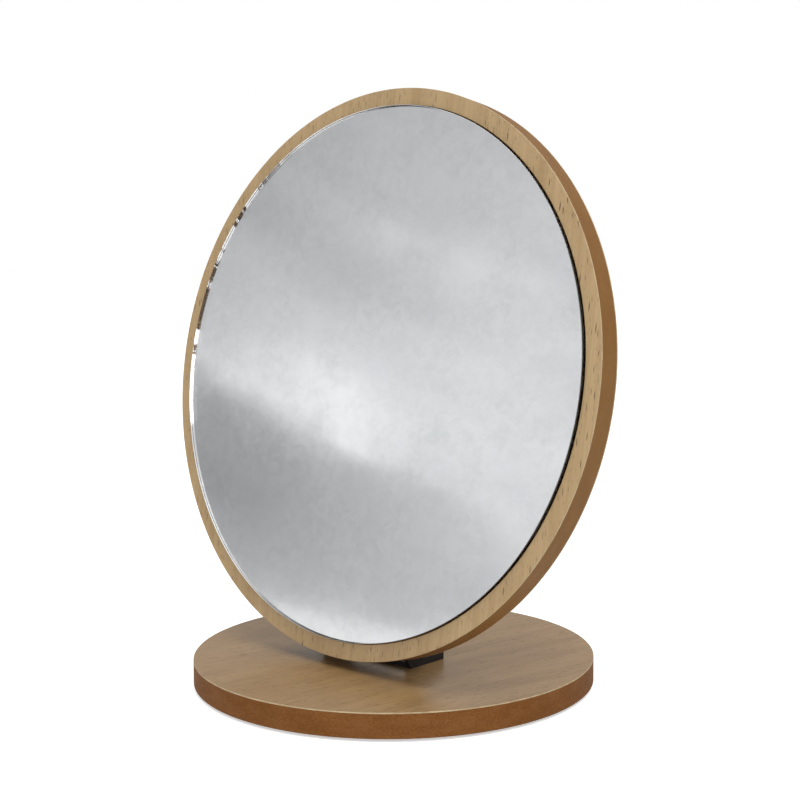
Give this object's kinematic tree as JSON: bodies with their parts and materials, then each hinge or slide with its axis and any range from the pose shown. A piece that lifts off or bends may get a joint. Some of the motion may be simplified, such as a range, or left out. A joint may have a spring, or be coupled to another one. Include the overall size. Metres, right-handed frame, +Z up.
{
  "type": "table mirror",
  "caption": "Round mirror glass in a beech-faced board that tilts on a black friction hinge above a round beech-faced base.",
  "frame": {"origin": "on the table, under the centre of the round base", "axes": "+Z up, the mirror's face looks towards -Y and leans back towards +Y, +X to the right of someone who faces +Y"},
  "size_m": [0.208, 0.15, 0.219],
  "materials": {
    "beech_laminate": "pale beech print laminate, satin, with short dark pore flecks",
    "base_board": "bare brown fibreboard edge, matt, fine fibre speckle",
    "mirror_board": "sanded and sealed brown fibreboard edge, low sheen",
    "mirror_glass": "silvered glass with a lightly seamed edge",
    "foam_tape": "white foam tape",
    "black_steel": "black powder coat, fine texture",
    "black_screw": "black oxide, slight sheen",
    "zinc_steel": "bright zinc plate",
    "nylon": "natural nylon",
    "soft_pad": "matt black foam rubber"
  },
  "bodies": {
    "base": {"base_core": "base_board", "base_top_laminate": "beech_laminate", "base_bottom_laminate": "beech_laminate", "base_pad_1": "soft_pad", "base_pad_2": "soft_pad", "base_pad_3": "soft_pad", "base_pad_4": "soft_pad", "hinge_bracket": "black_steel", "bracket_screw_left": "black_screw", "bracket_screw_middle": "black_screw", "bracket_screw_right": "black_screw", "hinge_pin": "zinc_steel", "pin_washer": "zinc_steel", "friction_washer_left": "nylon", "friction_washer_right": "nylon", "disc_spring": "zinc_steel", "nut_washer": "zinc_steel", "lock_nut": "zinc_steel"},
    "mirror": {"mirror_board": "mirror_board", "mirror_front_laminate": "beech_laminate", "mirror_back_laminate": "beech_laminate", "mirror_glass": "mirror_glass", "glass_tape_1": "foam_tape", "glass_tape_2": "foam_tape", "glass_tape_3": "foam_tape", "glass_tape_4": "foam_tape", "hinge_leaf": "black_steel", "leaf_screw_1": "black_screw", "leaf_screw_2": "black_screw", "leaf_screw_3": "black_screw", "leaf_screw_4": "black_screw", "spacer_tube": "zinc_steel"}
  },
  "joints": [
    {"name": "mirror_tilt", "type": "hinge", "parent": "base", "child": "mirror", "pos_m": [0, -0.013, 0.019], "axis": [-1, 0, 0], "range_deg": [-9, 50]}
  ]
}
